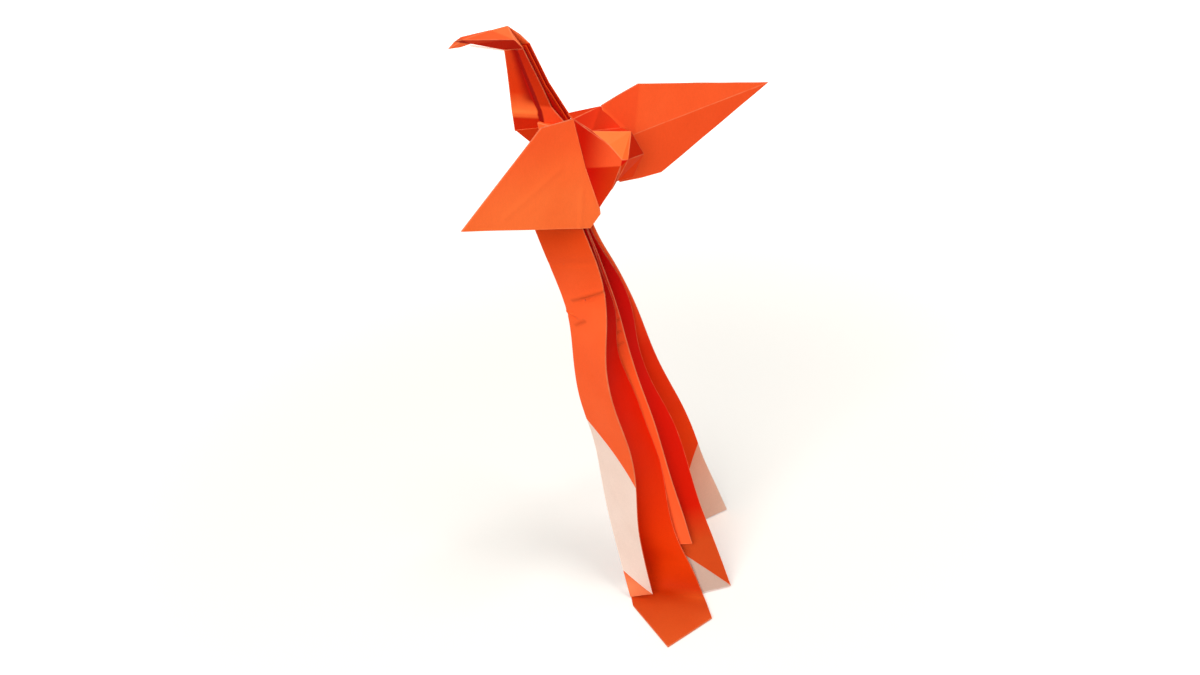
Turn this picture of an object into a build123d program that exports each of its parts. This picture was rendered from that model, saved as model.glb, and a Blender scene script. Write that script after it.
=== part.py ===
from build123d import *
import os

# A phoenix folded from one square of two-coloured paper. It stands on the five
# wavy ribbons of its tail, with its beak towards -X and its wings spread level.
# Lengths are in millimetres. The floor is Z = 0.

# Paper
PLY = 0.1
WING_PLIES = 4
TAIL_PLIES = 4
HEAD_PLIES = 4

# Tail: heights of the stations where the ribbons' waves are set
TAIL_LENGTH = 126.0
TAIL_STATIONS = 9
TUCK = 8.0
TUCK_BACK = 2.0
TUCK_SIDE = -2.0
STATION_HEIGHTS = [TAIL_LENGTH * (1 - k / TAIL_STATIONS) for k in range(TAIL_STATIONS + 1)]

# Tail: how far right each edge swings at those heights
NEAR_LEFT_SWING = (-23.5, -20.6, -18.5, -18.8, -18.5, -16.6, -15.8, -15.1, -13.7, -12.2)
NEAR_RIGHT_SWING = (-10.2, -7.7, -8.0, -9.9, -9.2, -6.6, -6.1, -7.0, -6.5, -5.4)
FRONT_RIGHT_SWING = (-9.4, -7.2, -5.1, -5.9, -3.1, -0.2, 2.2, 2.8, 5.2, 9.2)
SHORT_RIGHT_SWING = (-9.2, -6.5, -4.2, -2.6, -0.4, 2.2, 4.2, 6.4, 8.5)
RIGHT_RIGHT_SWING = (-8.6, -4.3, -0.6, 0.3, 1.9, 6.5, 9.8, 11.9, 15.2, 18.4)
REAR_RIGHT_SWING = (-7.6, -3.6, 0.3, 3.1, 5.9, 9.8, 13.3, 15.7, 18.8, 21.9)

# Tail: how far each hidden left edge reaches behind the ribbon before it, and how far
# behind its paper, at root, middle and foot
FRONT_OVERLAP = (12.0, 1.8, 6.0)
FRONT_GAP = (0.8, 0.7, 8.0)
RIGHT_OVERLAP = (11.0, 4.2, 6.0)
RIGHT_GAP = (0.8, 0.8, 0.8)

# Tail: breadth of the ribbons that turn away from the one before, at root, middle and foot
SHORT_BREADTH = (12.0, 6.0, 9.0)
REAR_BREADTH = (12.5, 12.5, 12.5)

# Tail: how far back each edge stands, at root, middle and foot
NEAR_LEFT_DEPTH = (-1.0, 5.0, -1.0)
NEAR_RIGHT_DEPTH = (-5.0, -6.0, -4.0)
FRONT_RIGHT_DEPTH = (-3.2, 4.6, -2.0)
SHORT_LEFT_DEPTH = (2.0, 8.1, 0.5)
SHORT_RIGHT_DEPTH = (-1.5, 3.5, -0.9)
RIGHT_RIGHT_DEPTH = (0.0, 12.5, -2.5)
REAR_LEFT_DEPTH = (4.0, 19.0, 32.0)
REAR_RIGHT_DEPTH = (1.5, 20.0, 38.5)

# Tail: how high the two corners of each square-cut end stand above its last station
NEAR_LIFT = (0.3, 2.4)
SHORT_LIFT = (0.4, 1.4)
RIGHT_LIFT = 0.2
REAR_LIFT = (0.2, 0.2)

# Tail: where the right ribbon's left corner meets the floor
RIGHT_LAND_LEFT = (9.0, -4.1, 0.2)

# Tail: where the front ribbon bends forward and meets the floor
FRONT_BEND_LEFT = (-12.0, 7.0, 6.0)
FRONT_BEND_RIGHT = (7.8, -1.6, 6.6)
FRONT_LAND_LEFT = (-12.4, 6.0, 0.3)
FRONT_LAND_RIGHT = (9.6, -4.6, 0.3)

# Tail: the curled end of the front ribbon, flat on the floor
FOOT_BACK_LEFT = (-12.5, 7.0)
FOOT_SIDE_LEFT = (-11.8, -5.5)
FOOT_TIP = (-3.3, -28.3)
FOOT_SIDE_RIGHT = (11.0, -17.5)
FOOT_BACK_RIGHT = (9.6, -3.4)

# Body: the closed bundle of layers between neck, wings and tail. From here on, heights
# are above the root of the tail.
BODY_TOP = 31.5
BODY_FOOT = 5.0
BODY_TOP_CORNERS = ((-19.4, 7.4), (-17.8, 11.0), (0.5, 1.0), (-8.5, -3.5))
BODY_FOOT_CORNERS = ((-17.6, -1.9), (-15.2, 3.6), (-7.0, 2.4), (-8.8, -3.6))
FAR_FLANK_RIDGE = (-9.5, 6.8, 19.0)
FAR_FLANK_HEART = (-12.5, 2.5, 19.0)

# Near wing: an upright kite of paper
NEAR_WING_TIP = (-43.1, -26.2, 18.5)
NEAR_WING_FRONT = (-18.2, -10.6, 38.0)
NEAR_WING_TOP = (-9.4, -5.1, 36.7)
NEAR_WING_FOLD = (-8.0, -4.3, 21.2)
NEAR_WING_ROOT = (-5.6, -2.7, 7.4)
NEAR_WING_CORNER = (-5.6, -2.8, 5.9)
NEAR_WING_TRAIL = (-8.9, -4.8, 3.0)

# Far wing: two faces either side of a crease from root to tip
FAR_WING_TIP = (46.7, 26.3, 25.0)
FAR_WING_SHOULDER = (9.5, 4.4, 40.1)
FAR_WING_TOP = (-1.4, -2.0, 38.1)
FAR_WING_CREASE = (6.4, 1.8, 26.4)
FAR_WING_ROOT = (1.0, -0.6, 13.7)
FAR_WING_CORNER = (6.7, 2.8, 12.4)
FAR_WING_TRAIL = (12.9, 6.4, 11.5)
FAR_WING_BACK = (-0.5, 0.85, 0.0)

# Body faces that show between the wings, closed down to the heart of the bundle
BODY_HEART = (-5.0, 1.0, 24.0)
SHELF_FRONT = (-10.8, -1.0, 36.8)
SHELF_BACK = (3.5, 0.0, 29.6)
HUMP_FRONT = (-4.8, -6.0, 32.8)
HUMP_SIDE = (-0.7, -8.0, 28.9)
HUMP_LOW = (2.2, -9.0, 24.4)
HUMP_NOSE = (3.8, -9.5, 24.4)
HUMP_TOP = (5.7, -5.7, 31.0)
PINCH_BACK = (1.7, -8.5, 22.4)
FLANK_LOW = (-1.5, -5.5, 14.1)
RUMP_SIDE = (8.5, -4.5, 23.1)
RUMP_LOW = (4.7, -3.0, 15.6)
RUMP_FRONT = (0.1, -5.5, 16.3)
CHEST_FRONT = (-26.0, 11.2, 28.3)
CHEST_BACK = (-18.4, 7.0, 30.0)
CHEST_LOW = (-22.1, 9.0, 24.7)
CHEST_HEART = (-17.0, 9.4, 28.5)

# Head and neck: upright profile plane, seen along the way it is folded in half
NECK_ORIGIN = (-12.0, 3.0)
NECK_FORWARD = (-0.857, 0.514)
NECK_LAYERS = 5
NECK_PITCH = 0.9
NECK_SPINE = 1.2
NECK_FOLD = 0.6
NECK_MIDDLE = NECK_PITCH * (NECK_LAYERS - 1) / 2

# Neck profile: forward distance and height
THROAT = (15.5, 52.5)
NECK_FRONT = (15.6, 45.0)
NECK_BREAST = (16.0, 34.5)
NECK_BASE_FRONT = (16.0, 28.0)
NECK_BASE_BACK = (2.1, 28.0)
NECK_BACK_LOW = (2.1, 32.8)
NECK_BACK_MIDDLE = (5.5, 43.3)
NECK_BACK_TOP = (9.5, 53.6)
VALLEY_TOP = (12.4, 52.8)
VALLEY_MIDDLE = (9.3, 40.5)
VALLEY_LOW = (7.7, 32.0)

# Head profile: forward distance and height
BEAK_TIP = (35.0, 50.1)
BEAK_TOP = (32.5, 52.6)
BEAK_UNDER = (30.8, 51.0)
BROW = (30.0, 54.3)
FOREHEAD = (20.0, 57.3)
CROWN = (14.5, 59.1)
CHEEK_FRONT = (29.0, 54.0)
CHEEK_BACK = (11.8, 55.9)
NAPE = (9.2, 53.4)
JAW_FRONT = (26.6, 52.9)
JAW_BACK = (15.6, 52.2)
HEAD_HEART = (22.0, 54.6)
CHEEK_WIDTH = 1.8
JAW_WIDTH = 1.4


def bowed(values, share):
    """A size that runs smoothly through its root, middle and foot values."""
    root, middle, foot = values
    upper = root * (1 - share) * (1 - 2 * share)
    centre = middle * 4 * share * (1 - share)
    lower = foot * share * (2 * share - 1)
    return upper + centre + lower


def edge(swings, depths, lift):
    """The run of one ribbon edge, tucked up into the body above its root."""
    tucked = (swings[0] + TUCK_SIDE, depths[0] + TUCK_BACK)
    points = [Vector(tucked[0], tucked[1], TAIL_LENGTH + TUCK)]
    for k, swing in enumerate(swings):
        share = k / TAIL_STATIONS
        points.append(Vector(swing, bowed(depths, share), STATION_HEIGHTS[k]))
    points[-1] += Vector(0, 0, lift)
    return points


def broad_edge(swings, breadths, depths, lift):
    """The run of a left edge that keeps its breadth from the right edge."""
    moved = []
    for k, swing in enumerate(swings):
        moved.append(swing - bowed(breadths, k / TAIL_STATIONS))
    return edge(moved, depths, lift)


def tucked_edge(before_left, before_right, overlaps, gaps):
    """The run of a left edge that lies hidden behind the ribbon before it."""
    points = []
    for k, corner in enumerate(before_right):
        share = max(k - 1, 0) / TAIL_STATIONS
        inward = (before_left[k] - corner).normalized()
        behind = Vector(0, bowed(gaps, share), 0)
        points.append(corner + inward * bowed(overlaps, share) + behind)
    return points


def ribbon(left_edge, right_edge):
    """A wavy strip of paper lofted between its two edges."""
    middles = [(left + right) * 0.5 for left, right in zip(left_edge, right_edge)]
    sections = []
    for k, middle in enumerate(middles):
        across = right_edge[k] - left_edge[k]
        run = middles[min(k + 1, len(middles) - 1)] - middles[max(k - 1, 0)]
        station = Plane(middle, x_dir=across, z_dir=across.cross(run).cross(across))
        with BuildSketch(station) as section:
            Rectangle(across.length, TAIL_PLIES * PLY)
        sections.append(section.sketch)
    loft(sections)


def above_tail(corner):
    """A corner given with its height above the tail's root, at its real height."""
    return Vector(corner) + Vector(0, 0, TAIL_LENGTH)


def facet_sketch(corners):
    """A flat face of paper through its corners."""
    points = [above_tail(corner) for corner in corners]
    normal = (points[1] - points[0]).cross(points[2] - points[0])
    lie = Plane(points[0], x_dir=points[1] - points[0], z_dir=normal)
    flat = [lie.to_local_coords(point) for point in points]
    with BuildSketch(lie) as outline:
        Polygon([(point.X, point.Y) for point in flat], align=None)
    return outline.sketch


def sheet_faces(faces, across, plies):
    """Faces of one sheet that meet at their creases, all as thick as their layers."""
    for corners in faces:
        extrude(facet_sketch(corners), amount=plies * PLY, dir=across)


def closed_faces(faces, heart):
    """Faces of a folded bundle, closed down to its heart."""
    for corners in faces:
        loft([facet_sketch(corners), Vertex(above_tail(heart))])


def profile_plane(offset):
    """The upright plane of the head and neck, moved sideways by offset."""
    forward = Vector(NECK_FORWARD[0], NECK_FORWARD[1], 0)
    side = Vector(NECK_FORWARD[1], -NECK_FORWARD[0], 0)
    origin = Vector(NECK_ORIGIN[0], NECK_ORIGIN[1], 0) + side * offset
    return Plane(above_tail(origin), x_dir=forward, z_dir=side)


def profile_point(spot, offset):
    """A spot of the head or neck profile, moved sideways by offset."""
    place = profile_plane(offset).from_local_coords(Vector(spot[0], spot[1], 0))
    return place - Vector(0, 0, TAIL_LENGTH)


def head_spot(spot, width, side):
    """A corner of the head, out from its middle fold to one side."""
    return profile_point(spot, NECK_MIDDLE + side * width)


with BuildPart() as folded_phoenix:
    # Body bundle
    with BuildSketch(Plane.XY.offset(TAIL_LENGTH + BODY_FOOT)) as body_foot:
        with BuildLine():
            Polyline(BODY_FOOT_CORNERS, close=True)
        make_face()
    with BuildSketch(Plane.XY.offset(TAIL_LENGTH + BODY_TOP)) as body_top:
        with BuildLine():
            Polyline(BODY_TOP_CORNERS, close=True)
        make_face()
    loft()

    # Far flank, raised to a ridge between its four corners
    far_top = [(x, y, BODY_TOP) for x, y in BODY_TOP_CORNERS[1:3]]
    far_foot = [(x, y, BODY_FOOT) for x, y in BODY_FOOT_CORNERS[1:3]]
    closed_faces(
        [
            [far_top[0], far_top[1], FAR_FLANK_RIDGE],
            [far_top[1], far_foot[1], FAR_FLANK_RIDGE],
            [far_foot[1], far_foot[0], FAR_FLANK_RIDGE],
            [far_foot[0], far_top[0], FAR_FLANK_RIDGE],
        ],
        FAR_FLANK_HEART,
    )

    # Five tail ribbons, nearest first
    near_left = edge(NEAR_LEFT_SWING, NEAR_LEFT_DEPTH, NEAR_LIFT[0])
    near_right = edge(NEAR_RIGHT_SWING, NEAR_RIGHT_DEPTH, NEAR_LIFT[1])
    ribbon(near_left, near_right)
    front_left = tucked_edge(near_left, near_right, FRONT_OVERLAP, FRONT_GAP)
    front_right = edge(FRONT_RIGHT_SWING, FRONT_RIGHT_DEPTH, 0)
    front_left[-1:] = [Vector(FRONT_BEND_LEFT), Vector(FRONT_LAND_LEFT)]
    front_right[-1:] = [Vector(FRONT_BEND_RIGHT), Vector(FRONT_LAND_RIGHT)]
    ribbon(front_left, front_right)
    short_left = broad_edge(SHORT_RIGHT_SWING, SHORT_BREADTH, SHORT_LEFT_DEPTH, SHORT_LIFT[0])
    short_right = edge(SHORT_RIGHT_SWING, SHORT_RIGHT_DEPTH, SHORT_LIFT[1])
    ribbon(short_left, short_right)
    right_left = tucked_edge(short_left, short_right, RIGHT_OVERLAP, RIGHT_GAP)
    right_left.append(Vector(RIGHT_LAND_LEFT))
    right_right = edge(RIGHT_RIGHT_SWING, RIGHT_RIGHT_DEPTH, RIGHT_LIFT)
    ribbon(right_left, right_right)
    rear_left = broad_edge(REAR_RIGHT_SWING, REAR_BREADTH, REAR_LEFT_DEPTH, REAR_LIFT[0])
    rear_right = edge(REAR_RIGHT_SWING, REAR_RIGHT_DEPTH, REAR_LIFT[1])
    ribbon(rear_left, rear_right)
    with BuildSketch() as foot:
        with BuildLine():
            Polyline(
                [FOOT_BACK_LEFT, FOOT_SIDE_LEFT, FOOT_TIP, FOOT_SIDE_RIGHT, FOOT_BACK_RIGHT],
                close=True,
            )
        make_face()
    extrude(amount=TAIL_PLIES * PLY)

    # Wings
    near_wing = facet_sketch(
        [
            NEAR_WING_TIP,
            NEAR_WING_FRONT,
            NEAR_WING_TOP,
            NEAR_WING_ROOT,
            NEAR_WING_CORNER,
            NEAR_WING_TRAIL,
        ]
    )
    extrude(near_wing, amount=WING_PLIES * PLY / 2, both=True)
    sheet_faces(
        [
            [FAR_WING_TIP, FAR_WING_SHOULDER, FAR_WING_CREASE],
            [FAR_WING_CREASE, FAR_WING_SHOULDER, FAR_WING_TOP],
            [FAR_WING_TIP, FAR_WING_CREASE, FAR_WING_TRAIL],
            [FAR_WING_CREASE, FAR_WING_CORNER, FAR_WING_TRAIL],
            [FAR_WING_CREASE, FAR_WING_ROOT, FAR_WING_CORNER],
            [FAR_WING_CREASE, FAR_WING_TOP, FAR_WING_ROOT],
        ],
        FAR_WING_BACK,
        WING_PLIES,
    )

    # Body faces between the wings
    closed_faces(
        [
            [SHELF_FRONT, NEAR_WING_TOP, FAR_WING_TOP],
            [NEAR_WING_TOP, HUMP_FRONT, FAR_WING_TOP],
            [HUMP_FRONT, SHELF_BACK, FAR_WING_TOP],
            [HUMP_FRONT, HUMP_TOP, SHELF_BACK],
            [HUMP_FRONT, HUMP_SIDE, HUMP_TOP],
            [HUMP_SIDE, HUMP_LOW, HUMP_TOP],
            [HUMP_LOW, HUMP_NOSE, HUMP_TOP],
            [NEAR_WING_TOP, HUMP_SIDE, HUMP_FRONT],
            [NEAR_WING_TOP, NEAR_WING_FOLD, HUMP_SIDE],
            [NEAR_WING_FOLD, PINCH_BACK, HUMP_SIDE],
            [HUMP_SIDE, PINCH_BACK, HUMP_LOW],
            [NEAR_WING_FOLD, NEAR_WING_ROOT, FLANK_LOW],
            [NEAR_WING_FOLD, FLANK_LOW, PINCH_BACK],
            [PINCH_BACK, FLANK_LOW, RUMP_FRONT],
            [PINCH_BACK, RUMP_FRONT, HUMP_NOSE],
            [HUMP_LOW, PINCH_BACK, HUMP_NOSE],
            [HUMP_NOSE, RUMP_SIDE, HUMP_TOP],
            [HUMP_NOSE, RUMP_FRONT, RUMP_SIDE],
            [RUMP_FRONT, RUMP_LOW, RUMP_SIDE],
            [HUMP_TOP, RUMP_SIDE, SHELF_BACK],
        ],
        BODY_HEART,
    )
    closed_faces([[CHEST_FRONT, CHEST_BACK, CHEST_LOW]], CHEST_HEART)

    # Neck: parallel layers joined along the folded throat
    for k in range(1, NECK_LAYERS):
        with BuildSketch(profile_plane(NECK_PITCH * k)) as layer:
            Polygon(
                THROAT,
                NECK_FRONT,
                NECK_BREAST,
                NECK_BASE_FRONT,
                NECK_BASE_BACK,
                NECK_BACK_LOW,
                NECK_BACK_MIDDLE,
                NECK_BACK_TOP,
                align=None,
            )
        extrude(amount=HEAD_PLIES * PLY / 2, both=True)
    with BuildSketch(profile_plane(0)) as throat_fold:
        Polygon(
            THROAT,
            NECK_FRONT,
            NECK_BREAST,
            NECK_BASE_FRONT,
            (NECK_BASE_FRONT[0] - NECK_SPINE, NECK_BASE_FRONT[1]),
            (NECK_BREAST[0] - NECK_SPINE, NECK_BREAST[1]),
            (NECK_FRONT[0] - NECK_SPINE, NECK_FRONT[1]),
            (THROAT[0] - NECK_SPINE, THROAT[1]),
            align=None,
        )
    extrude(amount=NECK_PITCH * (NECK_LAYERS - 1))

    # Neck: the near side is folded inwards along a valley
    throat = profile_point(THROAT, 0)
    neck_front = profile_point(NECK_FRONT, 0)
    base_front = profile_point(NECK_BASE_FRONT, 0)
    base_back = profile_point(NECK_BASE_BACK, 0)
    back_low = profile_point(NECK_BACK_LOW, 0)
    back_middle = profile_point(NECK_BACK_MIDDLE, 0)
    back_top = profile_point(NECK_BACK_TOP, 0)
    valley_top = profile_point(VALLEY_TOP, NECK_FOLD)
    valley_middle = profile_point(VALLEY_MIDDLE, NECK_FOLD)
    valley_low = profile_point(VALLEY_LOW, NECK_FOLD)
    sheet_faces(
        [
            [throat, valley_top, valley_middle],
            [throat, valley_middle, neck_front],
            [neck_front, valley_middle, valley_low],
            [neck_front, valley_low, base_front],
            [valley_top, back_top, valley_middle],
            [valley_middle, back_top, back_middle],
            [valley_middle, back_middle, valley_low],
            [valley_low, back_middle, back_low],
            [valley_low, back_low, base_back],
            [base_front, valley_low, base_back],
        ],
        profile_plane(0).z_dir,
        HEAD_PLIES,
    )

    # Head: two mirrored sides meeting along the top fold
    for side in (-1, 1):
        beak_tip = head_spot(BEAK_TIP, 0, side)
        beak_top = head_spot(BEAK_TOP, 0, side)
        beak_under = head_spot(BEAK_UNDER, 0, side)
        brow = head_spot(BROW, 0, side)
        forehead = head_spot(FOREHEAD, 0, side)
        crown = head_spot(CROWN, 0, side)
        cheek_front = head_spot(CHEEK_FRONT, CHEEK_WIDTH * 0.7, side)
        cheek_back = head_spot(CHEEK_BACK, CHEEK_WIDTH, side)
        nape = head_spot(NAPE, CHEEK_WIDTH, side)
        jaw_front = head_spot(JAW_FRONT, JAW_WIDTH * 0.7, side)
        jaw_back = head_spot(JAW_BACK, JAW_WIDTH, side)
        closed_faces(
            [
                [beak_tip, beak_top, cheek_front],
                [beak_top, brow, cheek_front],
                [brow, forehead, cheek_front],
                [forehead, cheek_back, cheek_front],
                [forehead, crown, cheek_back],
                [crown, nape, cheek_back],
                [cheek_front, cheek_back, jaw_front],
                [cheek_back, jaw_back, jaw_front],
                [cheek_back, nape, jaw_back],
                [beak_tip, cheek_front, beak_under],
                [cheek_front, jaw_front, beak_under],
            ],
            head_spot(HEAD_HEART, 0, side),
        )

# The origin is moved to the middle of the footprint, on the floor
footprint = folded_phoenix.part.bounding_box().center()
standing_phoenix = folded_phoenix.part.moved(Location((-footprint.X, -footprint.Y, 0)))
standing_phoenix.label = "folded_phoenix"

os.makedirs("parts", exist_ok=True)
export_step(standing_phoenix, "parts/folded_phoenix.step")
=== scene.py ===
import math

import bpy
import numpy as np
from mathutils import Matrix


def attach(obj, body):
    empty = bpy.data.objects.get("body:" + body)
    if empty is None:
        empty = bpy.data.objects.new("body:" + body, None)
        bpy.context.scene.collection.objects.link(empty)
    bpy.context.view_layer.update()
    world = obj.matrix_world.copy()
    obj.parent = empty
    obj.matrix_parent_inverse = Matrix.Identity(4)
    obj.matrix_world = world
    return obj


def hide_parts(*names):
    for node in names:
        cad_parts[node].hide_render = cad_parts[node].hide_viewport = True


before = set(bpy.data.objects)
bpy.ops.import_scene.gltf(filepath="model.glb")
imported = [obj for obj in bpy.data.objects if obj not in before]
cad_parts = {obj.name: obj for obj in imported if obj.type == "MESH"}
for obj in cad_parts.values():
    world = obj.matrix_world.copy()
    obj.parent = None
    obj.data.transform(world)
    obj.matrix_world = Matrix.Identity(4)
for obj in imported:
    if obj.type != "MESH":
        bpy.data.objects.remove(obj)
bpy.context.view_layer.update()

# Lengths are written in millimetres, as in the part's source, before its origin is moved
MM = 0.001
MOVED = np.array([-1.747, -5.186, 0.0])
NODE = "folded_phoenix"

# Camera, at the photo's angle
TILT = math.radians(30.0)
ROLL = math.radians(8.0)
SENSOR, LENS = 36.0, 75.0
EYE = np.array([-10.4, -618.7, 448.4])
level = np.array([1.0, 0.0, 0.0])
upward = np.array([0.0, math.sin(TILT), math.cos(TILT)])
ahead = np.array([0.0, math.cos(TILT), -math.sin(TILT)])
cam_x = math.cos(ROLL) * level - math.sin(ROLL) * upward
cam_y = math.sin(ROLL) * level + math.cos(ROLL) * upward
camera = bpy.data.objects.new("camera", bpy.data.cameras.new("camera"))
bpy.context.scene.collection.objects.link(camera)
camera.data.sensor_width = SENSOR
camera.data.lens = LENS
camera.data.clip_start = 0.01
camera.data.clip_end = 20.0
eye = (EYE + MOVED) * MM
camera.matrix_world = Matrix(
    (
        (cam_x[0], cam_y[0], -ahead[0], eye[0]),
        (cam_x[1], cam_y[1], -ahead[1], eye[1]),
        (cam_x[2], cam_y[2], -ahead[2], eye[2]),
        (0, 0, 0, 1),
    )
)
bpy.context.scene.camera = camera
bpy.context.scene.view_settings.view_transform = "Standard"


# Materials
def srgb(r, g, b):
    """A colour written as it looks on screen, 0 to 255, as the shader wants it."""
    out = []
    for c in (r, g, b):
        c = c / 255
        out.append(c / 12.92 if c <= 0.04045 else ((c + 0.055) / 1.055) ** 2.4)
    return (out[0], out[1], out[2], 1.0)


def paper(name, face, mottle, rim, rim_strength, rim_width, roughness):
    """Thin origami paper: fibres, faint mottling, and folds and cut edges drawn lighter, partly
    as rubbed wear and partly as a painted highlight.

    rim_width is how far from a fold or an edge, in mm, the paper is drawn lighter, as wear and as
    a painted highlight."""
    m = bpy.data.materials.new(name)
    m.use_nodes = True
    nt = m.node_tree
    nt.nodes.clear()
    new, link = nt.nodes.new, nt.links.new
    out = new("ShaderNodeOutputMaterial")
    bsdf = new("ShaderNodeBsdfPrincipled")
    link(bsdf.outputs["BSDF"], out.inputs["Surface"])
    bsdf.inputs["Specular IOR Level"].default_value = 0.04
    where = new("ShaderNodeTexCoord")

    def noise(scale, detail, rough=0.5, stretch=None):
        n = new("ShaderNodeTexNoise")
        n.inputs["Scale"].default_value = scale
        n.inputs["Detail"].default_value = detail
        n.inputs["Roughness"].default_value = rough
        if stretch:
            mp = new("ShaderNodeMapping")
            mp.inputs["Scale"].default_value = stretch
            mp.inputs["Rotation"].default_value = (0.3, 0.2, 0.5)
            link(where.outputs["Object"], mp.inputs["Vector"])
            link(mp.outputs["Vector"], n.inputs["Vector"])
        else:
            link(where.outputs["Object"], n.inputs["Vector"])
        return n.outputs["Fac"]

    def mix(kind, fac, a, b):
        x = new("ShaderNodeMix")
        x.data_type = "RGBA"
        x.blend_type = kind
        x.clamp_factor = True
        for socket, value in ((x.inputs[0], fac), (x.inputs[6], a), (x.inputs[7], b)):
            if isinstance(value, (int, float, tuple)):
                socket.default_value = value
            else:
                link(value, socket)
        return x.outputs[2]

    def ramp(value, low, high, to_low=0.0, to_high=1.0):
        r = new("ShaderNodeMapRange")
        r.inputs["From Min"].default_value = low
        r.inputs["From Max"].default_value = high
        r.inputs["To Min"].default_value = to_low
        r.inputs["To Max"].default_value = to_high
        link(value, r.inputs["Value"])
        return r.outputs["Result"]

    def times(a, b):
        x = new("ShaderNodeMath")
        x.operation = "MULTIPLY"
        for socket, value in ((x.inputs[0], a), (x.inputs[1], b)):
            if isinstance(value, float):
                socket.default_value = value
            else:
                link(value, socket)
        return x.outputs[0]

    # Cloudy dye, fibres and fine grain
    cloud = ramp(noise(75, detail=3), 0.35, 0.65)
    colour = mix("MIX", cloud, face, mottle)
    fibre = ramp(noise(1700, detail=4, rough=0.7, stretch=(1, 1, 0.5)), 0.3, 0.7, 0.975, 1.02)
    grain = ramp(noise(5200, detail=2, rough=0.6), 0.3, 0.7, 0.97, 1.03)
    grey = times(fibre, grain)
    fibre_tint = new("ShaderNodeCombineColor")
    for k in range(3):
        link(grey, fibre_tint.inputs[k])
    colour = mix("MULTIPLY", 1.0, colour, fibre_tint.outputs[0])
    # The tint attribute carries painted light and shade, set face by face and strip by strip
    tint = new("ShaderNodeAttribute")
    tint.attribute_name = "tint"
    colour = mix("MULTIPLY", 1.0, colour, tint.outputs["Color"])
    # Folds and cut edges, patchily lighter: partly rubbed wear, partly a painted highlight
    away = new("ShaderNodeAttribute")
    away.attribute_name = "rim"
    line = ramp(away.outputs["Fac"], 0.0, rim_width, 1.0, 0.0)
    patchy = ramp(noise(380, detail=3), 0.3, 0.7, 0.3, 1.0)
    worn_and_highlit = times(times(line, patchy), rim_strength)
    colour = mix("MIX", worn_and_highlit, colour, rim)
    link(colour, bsdf.inputs["Base Color"])
    dull = ramp(noise(240, detail=3), 0.3, 0.7, roughness - 0.05, roughness + 0.07)
    link(dull, bsdf.inputs["Roughness"])
    # A fine tooth over very faint cockling
    tooth = new("ShaderNodeBump")
    tooth.inputs["Strength"].default_value = 0.2
    tooth.inputs["Distance"].default_value = 0.00004
    link(noise(2600, detail=4, rough=0.65), tooth.inputs["Height"])
    cockle = new("ShaderNodeBump")
    cockle.inputs["Strength"].default_value = 0.3
    cockle.inputs["Distance"].default_value = 0.0003
    link(noise(150, detail=2, rough=0.4), cockle.inputs["Height"])
    link(cockle.outputs["Normal"], tooth.inputs["Normal"])
    link(tooth.outputs["Normal"], bsdf.inputs["Normal"])
    return m


BASE = (250, 104, 48)
ORANGE = paper(
    "paper_orange",
    face=srgb(*BASE),
    mottle=srgb(247, 99, 44),
    rim=srgb(255, 158, 110),
    rim_strength=0.5,
    rim_width=0.24,
    roughness=0.52,
)
# The white side's pinkish colour is partly its own and partly painted warm light thrown onto it
# by the orange paper around it
WHITE = paper(
    "paper_white",
    face=srgb(242, 216, 202),
    mottle=srgb(238, 210, 195),
    rim=srgb(252, 240, 232),
    rim_strength=0.6,
    rim_width=0.35,
    roughness=0.6,
)
EDGE = paper(
    "paper_edge",
    face=srgb(240, 124, 82),
    mottle=srgb(232, 108, 66),
    rim=srgb(250, 160, 120),
    rim_strength=0.3,
    rim_width=0.2,
    roughness=0.7,
)
MATERIALS = [ORANGE, WHITE, EDGE]
GOOD_SIDE, WHITE_SIDE, CUT_EDGE = range(3)


def tone(r, g, b, light=1.0):
    """The tint that turns the base orange to a colour seen under this share of full light.

    Most of the colours given to it were read off the photo, so they carry some of its shade."""
    want, have = srgb(r, g, b), srgb(*BASE)
    return np.array([min(1.0 / max(h, 0.01), w / h / light) for w, h in zip(want[:3], have[:3])])


def tones(position, stops):
    """Tints between stops of (position, tint)."""
    at = [p for p, _ in stops]
    return np.stack([np.interp(position, at, [c[k] for _, c in stops]) for k in range(3)], -1)


# Mesh helpers
def waves(points, seed, size, reach):
    """Gentle cockling: a smooth pseudo-random height at each point, about size high."""
    rng = np.random.default_rng(seed)
    total = np.zeros(len(points))
    for _ in range(7):
        k = rng.normal(size=3)
        k *= 2 * math.pi / (np.linalg.norm(k) * reach * rng.uniform(0.7, 1.8))
        total += np.sin(points @ k + rng.uniform(0, 6.28)) * rng.uniform(0.5, 1)
    return total * size / 3


# Degrees over which a folded face or a cut ribbon shows a sharp edge
CREASED, CUT_RIBBON = 60, 40


def make(name, verts, faces, materials, rim, tint, flat_over):
    """A piece of paper at its place in the frame, riding on the only body."""
    mesh = bpy.data.meshes.new(name)
    verts = (np.asarray(verts, float) + MOVED) * MM
    mesh.from_pydata(verts.tolist(), [], [tuple(int(i) for i in f) for f in faces])
    for m in MATERIALS:
        mesh.materials.append(m)
    mesh.polygons.foreach_set("material_index", np.asarray(materials, np.int32))
    a = mesh.attributes.new("rim", "FLOAT", "POINT")
    a.data.foreach_set("value", np.asarray(rim, np.float32))
    c = mesh.attributes.new("tint", "FLOAT_COLOR", "POINT")
    colours = np.ones((len(verts), 4), np.float32)
    colours[:, :3] = tint
    c.data.foreach_set("color", colours.ravel())
    mesh.validate()
    mesh.update()
    mesh.shade_smooth()
    mesh.set_sharp_from_angle(angle=math.radians(flat_over))
    obj = bpy.data.objects.new(name, mesh)
    bpy.context.scene.collection.objects.link(obj)
    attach(obj, "root")
    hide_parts(NODE)
    return obj


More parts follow.
